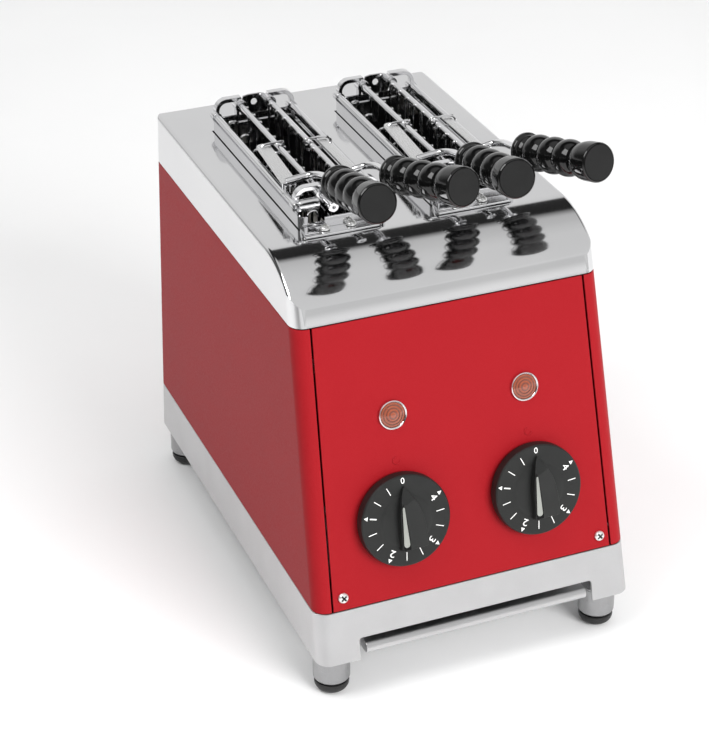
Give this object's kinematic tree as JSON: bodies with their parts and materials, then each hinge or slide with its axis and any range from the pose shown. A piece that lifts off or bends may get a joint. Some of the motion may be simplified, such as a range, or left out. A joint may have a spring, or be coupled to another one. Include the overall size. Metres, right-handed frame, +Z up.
{
  "type": "pop up toaster",
  "caption": "Upright toaster with lift-out sprung tongs, leaning painted front with timer dials and lamps, polished steel top, round feet and a front crumb tray.",
  "frame": {"origin": "middle of the footprint on the floor, from the foot of the front to the end of the cable gland", "axes": "+Z up, the front with the dials and grips faces -Y, +X is to the right seen from the front"},
  "size_m": [0.2138, 0.3294, 0.3293],
  "materials": {
    "steel": "polished steel",
    "aluminium": "satin",
    "red": "metallic satin paint",
    "chrome": "bright plated wire and plate",
    "zinc": "plain zinc plated",
    "grip": "gloss black, ribbed",
    "dial": "matt dark grey",
    "rubber": "black rubber",
    "lamp": "translucent amber",
    "quartz": "frosted tube with end caps",
    "mica": "plain insulating block",
    "gland": "black nylon"
  },
  "bodies": {
    "body": {"base_frame": "aluminium", "base_pan": "zinc", "chamber": "zinc", "foot_sleeve_rear_left": "aluminium", "foot_pad_rear_left": "rubber", "foot_sleeve_rear_right": "aluminium", "foot_pad_rear_right": "rubber", "foot_sleeve_front_left": "aluminium", "foot_pad_front_left": "rubber", "foot_sleeve_front_right": "aluminium", "foot_pad_front_right": "rubber", "body_shell": "red", "front_panel": "red", "top_cover": "steel", "heater_left_1": "quartz", "heater_left_2": "quartz", "heater_centre_1": "quartz", "heater_centre_2": "quartz", "heater_right_1": "quartz", "heater_right_2": "quartz", "cable_gland": "gland", "terminal_block": "mica", "slot_frame_left": "chrome", "panel_screw_left": "zinc", "flange_screw_left_a": "zinc", "flange_screw_left_b": "zinc", "timer_left": "zinc", "lamp_bezel_left": "chrome", "lamp_lens_left": "lamp", "guard_left_left": "chrome", "guard_left_right": "chrome", "slot_frame_right": "chrome", "panel_screw_right": "zinc", "flange_screw_right_a": "zinc", "flange_screw_right_b": "zinc", "timer_right": "zinc", "lamp_bezel_right": "chrome", "lamp_lens_right": "lamp", "guard_right_left": "chrome", "guard_right_right": "chrome"},
    "tong_left": {"tong_frame_left": "chrome"},
    "tong_left_jaw_left": {"tong_left_grid_left": "chrome", "tong_left_arm_left": "steel", "tong_left_grip_left": "grip"},
    "tong_left_jaw_right": {"tong_left_grid_right": "chrome", "tong_left_arm_right": "steel", "tong_left_grip_right": "grip"},
    "knob_left_turn_body": {"knob_left": "dial", "knob_pointer_left": "aluminium"},
    "tong_right": {"tong_frame_right": "chrome"},
    "tong_right_jaw_left": {"tong_right_grid_left": "chrome", "tong_right_arm_left": "steel", "tong_right_grip_left": "grip"},
    "tong_right_jaw_right": {"tong_right_grid_right": "chrome", "tong_right_arm_right": "steel", "tong_right_grip_right": "grip"},
    "knob_right_turn_body": {"knob_right": "dial", "knob_pointer_right": "aluminium"},
    "crumb_tray_drawer": {"crumb_tray": "steel"}
  },
  "joints": [
    {"name": "tong_left_lift", "type": "slide", "parent": "body", "child": "tong_left", "axis": [0, 0, 1], "range_m": [0, 0.13]},
    {"name": "tong_left_jaw_left_open", "type": "hinge", "parent": "tong_left", "child": "tong_left_jaw_left", "pos_m": [-0.0537, 0.0257, 0.286], "axis": [0, 1, 0], "range_deg": [0, 5], "stiffness_Nm_per_rad": 1.2, "springref_deg": -8.59},
    {"name": "tong_left_jaw_right_open", "type": "hinge", "parent": "tong_left", "child": "tong_left_jaw_right", "pos_m": [-0.0333, 0.0257, 0.286], "axis": [0, -1, 0], "range_deg": [0, 5], "stiffness_Nm_per_rad": 1.2, "springref_deg": -8.59},
    {"name": "knob_left_turn", "type": "hinge", "parent": "body", "child": "knob_left_turn_body", "pos_m": [-0.0445, -0.14324, 0.113], "axis": [0, 0.9681, -0.2504], "range_deg": [0, 320]},
    {"name": "tong_right_lift", "type": "slide", "parent": "body", "child": "tong_right", "axis": [0, 0, 1], "range_m": [0, 0.13]},
    {"name": "tong_right_jaw_left_open", "type": "hinge", "parent": "tong_right", "child": "tong_right_jaw_left", "pos_m": [0.0333, 0.0257, 0.286], "axis": [0, 1, 0], "range_deg": [0, 5], "stiffness_Nm_per_rad": 1.2, "springref_deg": -8.59},
    {"name": "tong_right_jaw_right_open", "type": "hinge", "parent": "tong_right", "child": "tong_right_jaw_right", "pos_m": [0.0537, 0.0257, 0.286], "axis": [0, -1, 0], "range_deg": [0, 5], "stiffness_Nm_per_rad": 1.2, "springref_deg": -8.59},
    {"name": "knob_right_turn", "type": "hinge", "parent": "body", "child": "knob_right_turn_body", "pos_m": [0.0445, -0.14324, 0.113], "axis": [0, 0.9681, -0.2504], "range_deg": [0, 320]},
    {"name": "crumb_tray_pull", "type": "slide", "parent": "body", "child": "crumb_tray_drawer", "axis": [0, -1, 0], "range_m": [0, 0.25]}
  ]
}
